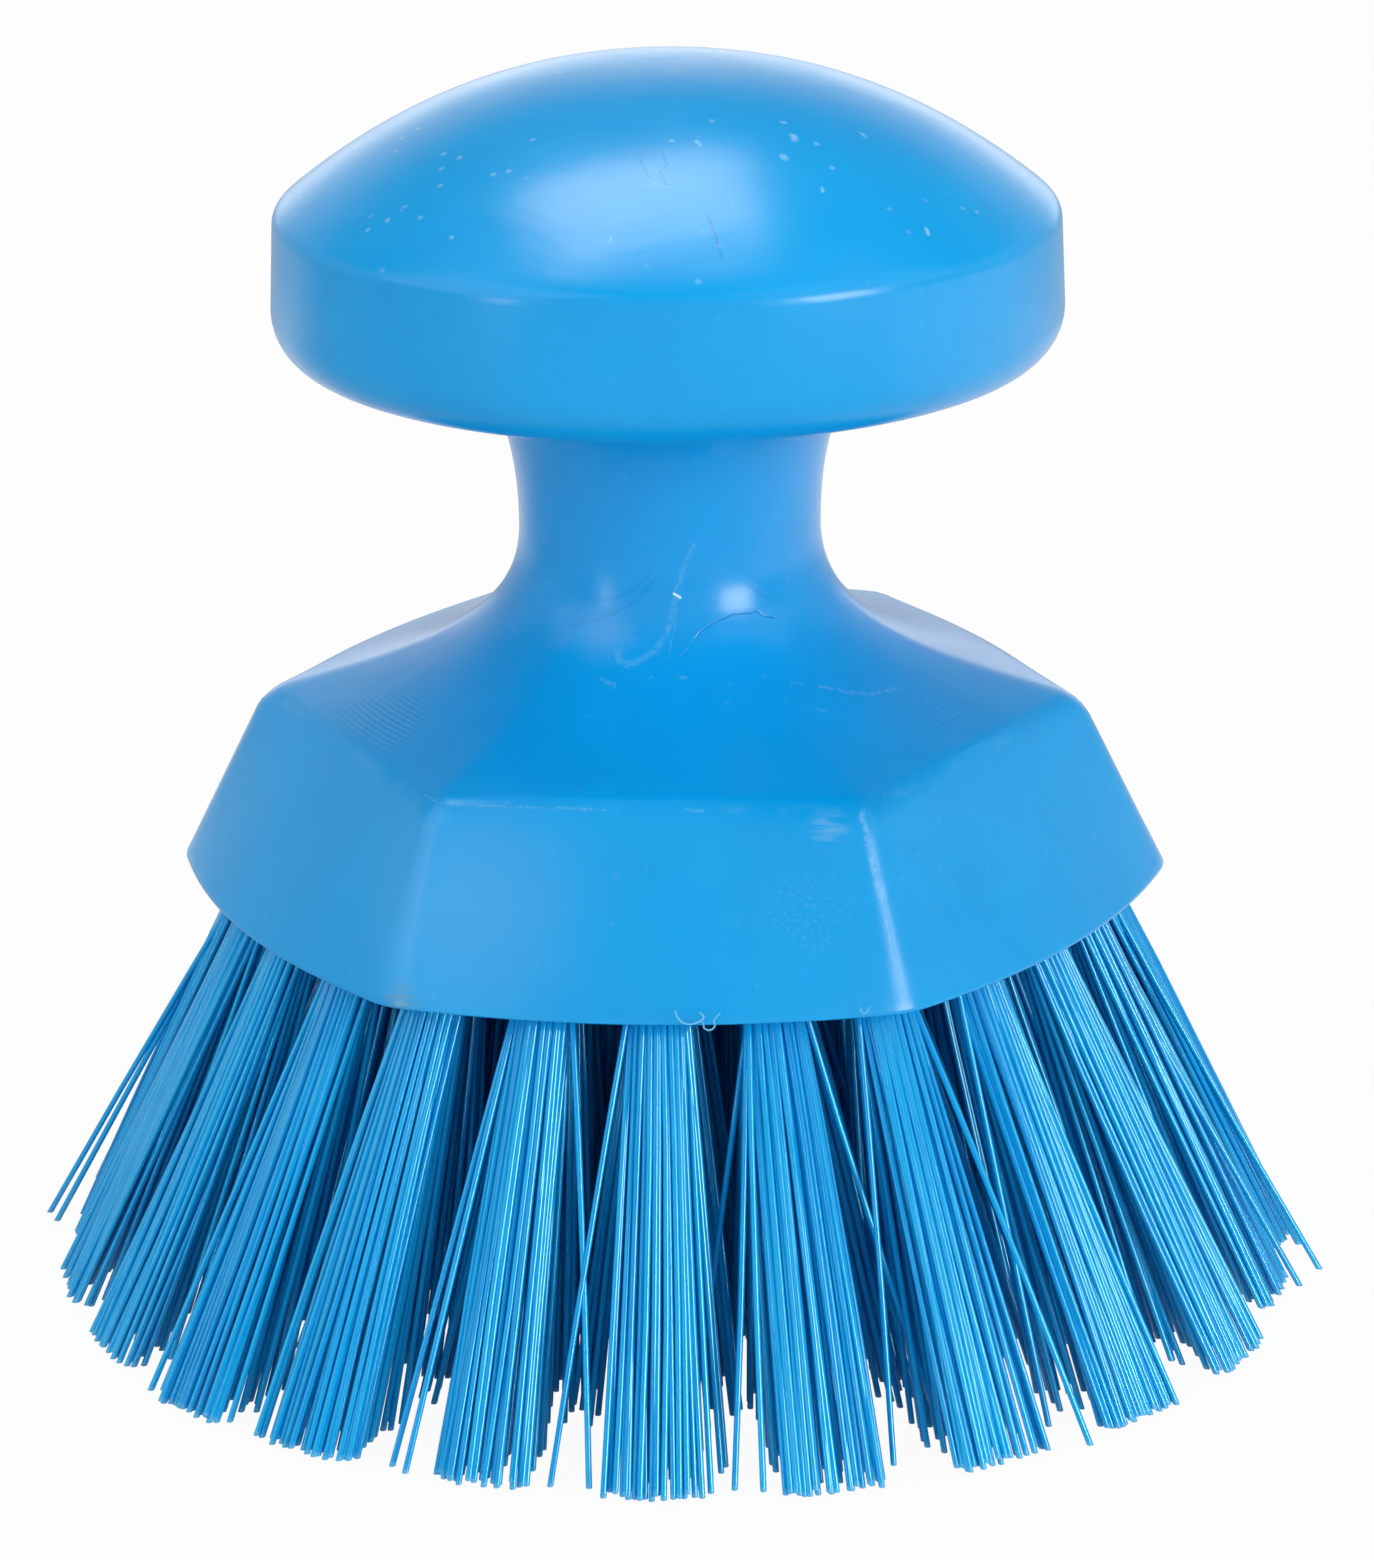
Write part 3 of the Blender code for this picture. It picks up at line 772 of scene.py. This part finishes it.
def make_tufts(filament, material):
    """Every tuft as a piece of single filaments, each with its own course, bend and tint"""
    luck = random.Random(SEED)
    for name, place, filaments in tuft_places():
        shape = bmesh.new()
        tint = shape.faces.layers.float.new("tint")
        shape.verts.layers.float.new("run")
        for root, tip in tuft_courses(name, place, filaments, luck):
            before = len(shape.faces)
            turn = luck.uniform(0, math.tau)
            aside = Vector((math.cos(turn), math.sin(turn), 0)) * luck.uniform(0, BEND)
            lay_filament(shape, filament, root, tip, aside, turn)
            shade = luck.random()
            shape.faces.ensure_lookup_table()
            for face in shape.faces[before:]:
                face[tint] = shade
        tuft = object_from("filaments_" + name, shape)
        tuft.data.materials.append(material)
        tuft.data.shade_smooth()
        tuft.data.set_sharp_from_angle(angle=FILAMENT_SHARP_EDGE)
        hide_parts(name)
        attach(tuft, "root")
    bpy.data.objects.remove(filament, do_unlink=True)


def socket(sockets, name):
    """The socket of this name or number that is in use"""
    if isinstance(name, int):
        return sockets[name]
    return next(each for each in sockets if each.name == name and each.enabled)


def node(tree, kind, inputs=None, **settings):
    """A new node with these settings. Each input is a value, or another node's socket to join."""
    made = tree.nodes.new(kind)
    for name, value in settings.items():
        setattr(made, name, value)
    for name, value in (inputs or {}).items():
        end = socket(made.inputs, name)
        if isinstance(value, bpy.types.NodeSocket):
            tree.links.new(value, end)
        else:
            end.default_value = value
    return made


def math_of(tree, operation, *values):
    return node(tree, "ShaderNodeMath", dict(enumerate(values)), operation=operation).outputs[0]


def times(tree, *values):
    return math_of(tree, "MULTIPLY", *values)


def most(tree, *values):
    """The greatest of these values"""
    greatest, *others = values
    for value in others:
        greatest = math_of(tree, "MAXIMUM", greatest, value)
    return greatest


def vector_of(tree, operation, *values):
    return node(tree, "ShaderNodeVectorMath", dict(enumerate(values)), operation=operation)


def fade(tree, value, start, end, low=0.0, high=1.0):
    """Goes smoothly from low to high while the value goes from start to end"""
    inputs = {"Value": value, "From Min": start, "From Max": end, "To Min": low, "To Max": high}
    return node(tree, "ShaderNodeMapRange", inputs, interpolation_type="SMOOTHSTEP").outputs[0]


def noise(tree, position, scale, detail=2.0, roughness=0.5, distortion=0.0):
    inputs = {"Vector": position, "Scale": scale, "Detail": detail, "Roughness": roughness}
    return node(tree, "ShaderNodeTexNoise", inputs | {"Distortion": distortion}).outputs


def axes_of(tree, vector):
    return node(tree, "ShaderNodeSeparateXYZ", {0: vector}).outputs


def join_axes(tree, *values):
    return node(tree, "ShaderNodeCombineXYZ", dict(enumerate(values))).outputs[0]


def blend(tree, share, first, second):
    inputs = {"Factor": share, "A": first, "B": second}
    return node(tree, "ShaderNodeMix", inputs, data_type="RGBA").outputs["Result"]


def cover(tree, color, mask, wear):
    """The colour with this wear over it, where the mask says"""
    most_of_it, shade = wear
    return blend(tree, times(tree, mask, most_of_it), color, shade)


def mix_numbers(tree, share, first, second):
    inputs = {"Factor": share, "A": first, "B": second}
    return node(tree, "ShaderNodeMix", inputs, data_type="FLOAT").outputs[0]


def mix_shaders(tree, share, first, second):
    inputs = {0: share, 1: first.outputs[0], 2: second.outputs[0]}
    return node(tree, "ShaderNodeMixShader", inputs)


def new_group(name, vectors, numbers, results):
    """A node group that takes these vectors and numbers and gives these results, and its inner sockets"""
    group = bpy.data.node_groups.new(name, "ShaderNodeTree")
    sides = (("INPUT", "Vector", vectors), ("INPUT", "Float", numbers), ("OUTPUT", "Float", results))
    for side, kind, labels in sides:
        for label in labels.split():
            group.interface.new_socket(label, in_out=side, socket_type="NodeSocket" + kind)
    return group, group.nodes.new("NodeGroupInput").outputs, group.nodes.new("NodeGroupOutput").inputs


def use_group(tree, group, **inputs):
    return node(tree, "ShaderNodeGroup", inputs, node_tree=group).outputs


def segment_group():
    """Distance from a line between two points. Run is the way from Start to the end, and Share the same
    divided by the square of its length."""
    group, enter, leave = new_group("segment_distance", "Position Start Run Share", "", "Distance")
    off = vector_of(group, "SUBTRACT", enter["Position"], enter["Start"]).outputs[0]
    share = vector_of(group, "DOT_PRODUCT", off, enter["Share"]).outputs["Value"]
    share = node(group, "ShaderNodeClamp", {"Value": share}).outputs[0]
    nearest = vector_of(group, "SCALE", enter["Run"])
    group.links.new(share, nearest.inputs["Scale"])
    away = vector_of(group, "DISTANCE", off, nearest.outputs[0]).outputs["Value"]
    group.links.new(away, leave["Distance"])
    return group


def soft_patch_group():
    """Mask of a patch that fades from its centre outwards"""
    group, enter, leave = new_group("soft_patch", "Position Centre", "Radius", "Mask")
    away = vector_of(group, "DISTANCE", enter["Position"], enter["Centre"]).outputs["Value"]
    group.links.new(fade(group, away, 0.0, enter["Radius"], 1.0, 0.0), leave["Mask"])
    return group


def specks_group():
    """Mask of small scattered specks that gather in some places"""
    group, enter, leave = new_group("specks", "Position", "Scale Size Amount", "Mask")
    cells = node(group, "ShaderNodeTexVoronoi", {"Vector": enter["Position"], "Scale": enter["Scale"]})
    chosen = node(group, "ShaderNodeSeparateColor", {0: cells.outputs["Color"]}).outputs[0]
    gather = fade(group, noise(group, enter["Position"], 90.0)[0], 0.45, 0.7)
    kept = math_of(group, "LESS_THAN", chosen, times(group, gather, enter["Amount"]))
    dot = fade(group, cells.outputs["Distance"], 0.0, enter["Size"], 1.0, 0.0)
    group.links.new(times(group, dot, kept), leave["Mask"])
    return group


def surface_grain_group():
    """Fine unevenness of a surface, and a slow drift over it"""
    group, enter, leave = new_group("surface_grain", "Position", "Scale", "Fine Drift")
    slow = times(group, enter["Scale"], 0.04)
    group.links.new(noise(group, enter["Position"], enter["Scale"], 3.0, 0.6)[0], leave["Fine"])
    group.links.new(noise(group, enter["Position"], slow, 3.0, 0.55)[0], leave["Drift"])
    return group


def marks_mask(tree, group, position, marks):
    """Mask of all these lines, each drawn from point to point in its own width"""
    whole = 0.0
    for width, *points in marks:
        nearest = 1.0
        for (across, up), (next_across, next_up) in zip(points, points[1:]):
            run = Vector((next_across - across, next_up - up, 0)) * MM
            start = (across * MM, up * MM, 0)
            share = run / run.length_squared
            away = use_group(tree, group, Position=position, Start=start, Run=run, Share=share)[0]
            nearest = math_of(tree, "MINIMUM", nearest, away)
        line = fade(tree, nearest, width * MM * MARK_CORE_SHARE, width * MM, 1.0, 0.0)
        whole = most(tree, whole, line)
    return whole


def new_material(name):
    """A material, its tree, its Principled shader and its Object coordinates"""
    material = bpy.data.materials.new(name)
    material.use_nodes = True
    tree = material.node_tree
    position = tree.nodes.new("ShaderNodeTexCoord").outputs["Object"]
    return material, tree, tree.nodes["Principled BSDF"], position


def finish_material(material, color, roughness, normal):
    """Joins these to the Principled shader of the material"""
    tree = material.node_tree
    shader = tree.nodes["Principled BSDF"]
    for name, value in (("Base Color", color), ("Roughness", roughness), ("Normal", normal)):
        tree.links.new(value, shader.inputs[name])
    return material


def add_bump(tree, height, distance, strength, before=None):
    inputs = {"Height": height, "Distance": distance, "Strength": strength}
    if before:
        inputs["Normal"] = before
    return node(tree, "ShaderNodeBump", inputs).outputs[0]


class MouldingMasks:
    """Masks on the moulding: marks seen from the front or from above, some of them painted highlights,
    patches, specks, wear and grooves
    """

    def __init__(self, tree, groups, position):
        self.tree = tree
        self.groups = groups
        self.position = position
        _, self.depth, self.up = axes_of(tree, position)
        shift = noise(tree, position, 900.0)["Color"]
        wobble = Vector((1, 1, 1)) * MARK_WOBBLE
        shift = vector_of(tree, "MULTIPLY_ADD", shift, wobble, wobble * -0.5).outputs[0]
        across, depth, up = axes_of(tree, vector_of(tree, "ADD", position, shift).outputs[0])
        self.from_front = join_axes(tree, across, up)
        self.from_above = join_axes(tree, across, depth)
        self.in_front = math_of(tree, "LESS_THAN", self.depth, 0.0)
        self.on_dome = math_of(tree, "GREATER_THAN", self.up, CREASE)
        self.streaks = noise(tree, self.stretched(300.0, 2600.0), 1.0, 3.0)[0]

    def stretched(self, level, upright):
        """Object coordinates at one scale in the level and another upright"""
        return vector_of(self.tree, "MULTIPLY", self.position, (level, level, upright)).outputs[0]

    def front(self, marks):
        mask = marks_mask(self.tree, self.groups["line"], self.from_front, marks)
        return times(self.tree, mask, self.in_front)

    def above(self, marks):
        mask = marks_mask(self.tree, self.groups["line"], self.from_above, marks)
        return times(self.tree, mask, self.on_dome)

    def patch(self, place):
        centre, radius = place
        centre = [value * MM for value in centre]
        group = self.groups["patch"]
        return use_group(self.tree, group, Position=self.position, Centre=centre, Radius=radius * MM)[0]

    def dark_marks(self, crack):
        tree = self.tree
        flow = times(tree, self.front(FLOW_LINES), FLOW_SHARE)
        on_dome = times(tree, self.above(DOME_DARK), DOME_DARK_SHARE)
        return most(tree, flow, times(tree, crack, CRACK_SHARE), on_dome)

    def pale_marks_and_edge_highlights(self):
        """Pale lines, broken up along their length. Most are pale marks; the lines along the front of the
        rim are a painted highlight, and the line down the front-right corner is partly wear and partly
        painted highlight.
        """
        tree = self.tree
        pale = most(tree, times(tree, self.front(PALE_LINES_AND_RIM_HIGHLIGHT), PALE_SHARE), self.above(DOME_PALE))
        # The corner line is partly wear and partly painted highlight
        corner = times(tree, self.front(CORNER_WEAR_AND_HIGHLIGHT), CORNER_SHARE)
        broken = fade(tree, noise(tree, self.position, 2200.0)[0], 0.38, 0.6, 0.25, 1.0)
        return times(tree, most(tree, pale, corner), broken)

    def specks(self):
        """Specks on the dome, and a few below it"""
        tree = self.tree
        kinds = (
            use_group(tree, self.groups["specks"], Position=self.position, **kind)[0]
            for kind in (SMALL_SPECKS, LARGE_SPECKS)
        )
        dome_share = fade(tree, self.up, CREASE - 1 * MM, CREASE + 2 * MM, SPECKS_BELOW_DOME_SHARE, 1.0)
        return times(tree, most(tree, *kinds), dome_share)

    def streaked(self, place, start, end):
        """A patch broken up into level streaks"""
        return times(self.tree, self.patch(place), fade(self.tree, self.streaks, start, end))

    def rubbed_edges(self):
        """Wear of the rim and the lower edge, rubbed here more and there less"""
        tree = self.tree
        noted = node(tree, "ShaderNodeAttribute", attribute_name="edge_wear").outputs["Fac"]
        off_rim = math_of(tree, "ABSOLUTE", math_of(tree, "SUBTRACT", self.up, RIM))
        off_base = math_of(tree, "SUBTRACT", self.up, UNDERSIDE)
        near = fade(tree, math_of(tree, "MINIMUM", off_rim, off_base), *EDGE_WEAR_REACH, 1.0, 0.0)
        rubbed = fade(tree, noise(tree, self.position, 260.0, 3.0)[0], 0.48, 0.62)
        return times(tree, noted, times(tree, near, rubbed))

    def grooves(self):
        """Waving milled lines on the hollow facets at the left and the right"""
        tree = self.tree
        waves = times(tree, noise(tree, self.position, 120.0, 1.0)[0], 6.0)
        phase = math_of(tree, "MULTIPLY_ADD", self.up, math.tau / GROOVE_PITCH, waves)
        lines = math_of(tree, "SINE", phase)
        above_rim = fade(tree, self.up, RIM + 0.4 * MM, RIM + 1 * MM)
        milled = fade(tree, most(tree, *map(self.patch, MILLED)), 0.0, 0.6)
        return times(tree, lines, times(tree, above_rim, milled))


def moulded_blue(groups):
    """Satin moulded plastic, with the marks of its making and use, and painted light in its colour: a pale
    painted sheen, and painted highlights along the rim and down a corner
    """
    material, tree, shader, position = new_material("moulded_blue")
    shader.inputs["Specular IOR Level"].default_value = MOULDED_GLOSS
    masks = MouldingMasks(tree, groups, position)
    fine, drift = use_group(tree, groups["grain"], Position=position, Scale=2600.0)
    pale = masks.pale_marks_and_edge_highlights()
    crack = masks.front(CRACK)
    scuff = masks.streaked(SCUFF, 0.35, 0.62)
    mottle = times(tree, masks.patch(MOTTLE), fade(tree, fine, 0.5, 0.68))
    painted_sheen = most(tree, *map(masks.patch, PAINTED_SHEEN_PATCHES))

    slow = noise(tree, position, 70.0, 3.0, 0.6)[0]
    color = blend(tree, fade(tree, slow, 0.3, 0.7), *MOULDED_BLUES)
    color = blend(tree, masks.dark_marks(crack), color, DARK_MARK)
    # Pale marks, and painted highlights along the front of the rim and down the front-right corner
    color = cover(tree, color, pale, PALE_WEAR_AND_HIGHLIGHT)
    color = cover(tree, color, masks.specks(), SPECK_WEAR)
    color = cover(tree, color, scuff, SCUFF_WEAR)
    color = cover(tree, color, mottle, MOTTLE_WEAR)
    # Painted reflection: the pale sheen on the front facet and at the front of the neck
    color = cover(tree, color, painted_sheen, PAINTED_SHEEN)
    color = blend(tree, masks.front(CHIP), color, CHIPPED)
    color = cover(tree, color, masks.rubbed_edges(), EDGE_WEAR)
    color = cover(tree, color, masks.streaked(DIRT, 0.3, 0.6), DIRT_WEAR)

    rough = fade(tree, drift, 0.3, 0.7, *MOULDED_ROUGHNESS)
    rough = mix_numbers(tree, most(tree, pale, scuff), rough, WORN_ROUGHNESS)
    ripple = noise(tree, masks.stretched(90.0, 260.0), 1.0, 2.0, 0.5, 1.2)[0]
    normal = add_bump(tree, masks.grooves(), GROOVE_DEPTH, 1.0)
    normal = add_bump(tree, fine, GRAIN_DEPTH, 0.25, normal)
    normal = add_bump(tree, ripple, RIPPLE_DEPTH, 0.12, normal)
    normal = add_bump(tree, crack, -CRACK_DEPTH, 0.5, normal)
    return finish_material(material, color, rough, normal)


def bristle_blue():
    """Glossy drawn filament, each with its own shade, slow changes along it, and a paler cut end"""
    material, tree, shader, _ = new_material("bristle_blue")
    shader.inputs["IOR"].default_value = BRISTLE_IOR
    shader.inputs["Specular Tint"].default_value = BRISTLE_SHEEN
    tint = node(tree, "ShaderNodeAttribute", attribute_name="tint").outputs["Fac"]
    run = node(tree, "ShaderNodeAttribute", attribute_name="run").outputs["Fac"]
    own = times(tree, tint, 97.0)
    streak = noise(tree, join_axes(tree, own, times(tree, run, 7.0)), 1.0)[0]
    drawn = noise(tree, join_axes(tree, own, times(tree, run, 60.0)), 1.0)[0]
    end = fade(tree, run, 0.985, 1.0)

    shade = math_of(tree, "MULTIPLY_ADD", streak, 0.5, times(tree, tint, 0.6))
    color = blend(tree, fade(tree, shade, 0.15, 0.75), *BRISTLE_BLUES)
    color = cover(tree, color, end, CUT_END_WEAR)
    rough = fade(tree, streak, 0.3, 0.7, *BRISTLE_ROUGHNESS)
    rough = mix_numbers(tree, end, rough, CUT_END_ROUGHNESS)
    return finish_material(material, color, rough, add_bump(tree, drawn, 0.03 * MM, 0.3))


def flash_pale(groups):
    """Shreds so thin that they look pale"""
    material, tree, _, position = new_material("flash_pale")
    fine, drift = use_group(tree, groups["grain"], Position=position, Scale=4000.0)
    color = blend(tree, fine, *FLASH_BLUES)
    rough = fade(tree, drift, 0.3, 0.7, *FLASH_ROUGHNESS)
    return finish_material(material, color, rough, add_bump(tree, fine, GRAIN_DEPTH, 0.4))


def anchor_steel(groups):
    """Bright rolled strip, with a fine unevenness"""
    material, tree, shader, position = new_material("anchor_steel")
    shader.inputs["Metallic"].default_value = 1.0
    fine, drift = use_group(tree, groups["grain"], Position=position, Scale=2500.0)
    color = blend(tree, drift, *STEEL_GREYS)
    rough = fade(tree, fine, 0.3, 0.7, *STEEL_ROUGHNESS)
    return finish_material(material, color, rough, add_bump(tree, fine, GRAIN_DEPTH, 0.3))


def mark_edges(piece):
    """Notes on each vertex how much of the wear of the rim and the lower edge it shows"""
    wear = piece.data.attributes.new("edge_wear", "FLOAT", "POINT").data
    rim_from = RIM_CORNER * math.cos(SECTOR / 2) - RIM_WEAR_DEPTH
    for vert in piece.data.vertices:
        radius = vert.co.xy.length
        at_rim = abs(vert.co.z - RIM) < RIM_WEAR_HEIGHT and radius > rim_from
        at_base = vert.co.z < UNDERSIDE + BASE_WEAR_HEIGHT and radius > BASE_WEAR_FROM
        wear[vert.index].value = 1 if at_rim else BASE_WEAR_SHARE if at_base else 0


def make_camera():
    data = bpy.data.cameras.new("camera")
    camera = add_object("camera", data)
    data.lens = LENS
    data.sensor_width = SENSOR
    data.sensor_fit = "HORIZONTAL"
    data.clip_start = DISTANCE / 10
    data.clip_end = DISTANCE * 100
    aimed = Matrix.Rotation(AZIMUTH, 4, "Z") @ Matrix.Translation(AIM)
    lifted = aimed @ Matrix.Rotation(math.pi / 2 - ELEVATION, 4, "X")
    camera.matrix_world = lifted @ Matrix.Translation((0, 0, DISTANCE)) @ Matrix.Rotation(-ROLL, 4, "Z")
    bpy.context.scene.camera = camera


def add_softbox(name, azimuth, elevation, size, brightness):
    """A rectangular lamp that faces the knob from this direction. The brightness is that of its surface."""
    data = bpy.data.lights.new(name, "AREA")
    data.shape = "RECTANGLE"
    data.size, data.size_y = size
    data.energy = brightness * math.pi * size[0] * size[1]
    turn, lift = math.radians(azimuth), math.radians(elevation)
    back = Vector((math.sin(turn) * math.cos(lift), -math.cos(turn) * math.cos(lift), math.sin(lift)))
    lamp = add_object(name, data)
    lamp.location = SOFTBOX_AIM + back * SOFTBOX_DISTANCE
    lamp.rotation_euler = back.to_track_quat("Z", "Y").to_euler()


def ray_kinds(tree):
    """Masks of the rays that see plain white, and of those of reflections"""
    ray = tree.nodes.new("ShaderNodeLightPath").outputs
    return most(tree, ray["Is Camera Ray"], ray["Is Transmission Ray"]), ray["Is Glossy Ray"]


def make_floor():
    """A pale floor that the camera sees as near white, with a soft shadow under the brush"""
    deselect()
    bpy.ops.mesh.primitive_plane_add(size=FLOOR_SIZE, location=(0, 0, -FLOOR_DROP))
    floor = bpy.context.object
    floor.name = floor.data.name = "floor"
    material, tree, shader, position = new_material("floor_white")
    shader.inputs["Base Color"].default_value = FLOOR_WHITE
    shader.inputs["Roughness"].default_value = FLOOR_ROUGHNESS
    seen, glossy = ray_kinds(tree)
    across, depth, _ = axes_of(tree, position)
    mirrored = fade(tree, math_of(tree, "MULTIPLY_ADD", across, FLOOR_SLANT, depth), *FLOOR_FADE)
    mirrored = times(tree, mirrored, fade(tree, depth, *FLOOR_BACK_FADE))
    level = mix_numbers(tree, seen, mirrored, 1.0)
    glow = node(tree, "ShaderNodeEmission", {"Color": WHITE, "Strength": level})
    share = times(tree, most(tree, seen, glossy), FLOOR_GLOW_SHARE)
    surface = mix_shaders(tree, share, shader, glow)
    tree.links.new(surface.outputs[0], tree.nodes["Material Output"].inputs["Surface"])
    floor.data.materials.append(material)


def make_world():
    """White for the camera, a bright band that is dark in front for reflections, and soft light on the
    object, most of all from the front"""
    world = bpy.data.worlds.new("studio")
    bpy.context.scene.world = world
    world.use_nodes = True
    world.cycles.sampling_method = "NONE"
    tree = world.node_tree
    heading = tree.nodes.new("ShaderNodeTexCoord").outputs["Generated"]
    across, back, height = axes_of(tree, heading)
    front = vector_of(tree, "DOT_PRODUCT", heading, FRONT_HEADING).outputs["Value"]
    sides = times(tree, fade(tree, across, *BAND_RIGHT_FADE), fade(tree, across, *BAND_LEFT_FADE))
    band = times(tree, fade(tree, height, *BAND_UPWARDS_FADE), sides)
    behind = times(tree, fade(tree, back, *BACK_FADE), fade(tree, height, *BACK_UPWARDS_FADE))
    level = times(tree, math_of(tree, "ADD", band, behind), fade(tree, front, *DARK_FRONT_FADE))
    soft = times(tree, fade(tree, front, *ROOM_FADE), fade(tree, height, *ROOM_UPWARDS_FADE))
    room = node(tree, "ShaderNodeBackground", {"Color": ROOM_COLOR, "Strength": soft})
    studio = node(tree, "ShaderNodeBackground", {"Color": WHITE, "Strength": level})
    white = node(tree, "ShaderNodeBackground", {"Color": WHITE, "Strength": 1.0})
    seen, glossy = ray_kinds(tree)
    outer = mix_shaders(tree, seen, mix_shaders(tree, glossy, room, studio), white)
    tree.links.new(outer.outputs[0], tree.nodes["World Output"].inputs["Surface"])


make_camera()
make_floor()
make_world()
for name, setting in SOFTBOXES.items():
    add_softbox(name, *setting)

handle = make_handle()
drill(handle)
mark_edges(handle)
groups = {
    "line": segment_group(),
    "patch": soft_patch_group(),
    "specks": specks_group(),
    "grain": surface_grain_group(),
}
handle.data.materials.append(moulded_blue(groups))
handle.data.shade_smooth()
handle.data.set_sharp_from_angle(angle=SHARP_EDGE)
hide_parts("handle_block")
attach(handle, "root")

anchors = make_anchors()
anchors.data.materials.append(anchor_steel(groups))
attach(anchors, "root")

make_tufts(make_filament(), bristle_blue())
flash = flash_pale(groups)
for order, (depth, width, *points) in enumerate(CURLS):
    make_curl(f"flash_curl_{order + 1}", depth, width, points, flash)

bpy.context.scene.view_settings.view_transform = "Standard"
bpy.context.view_layer.update()
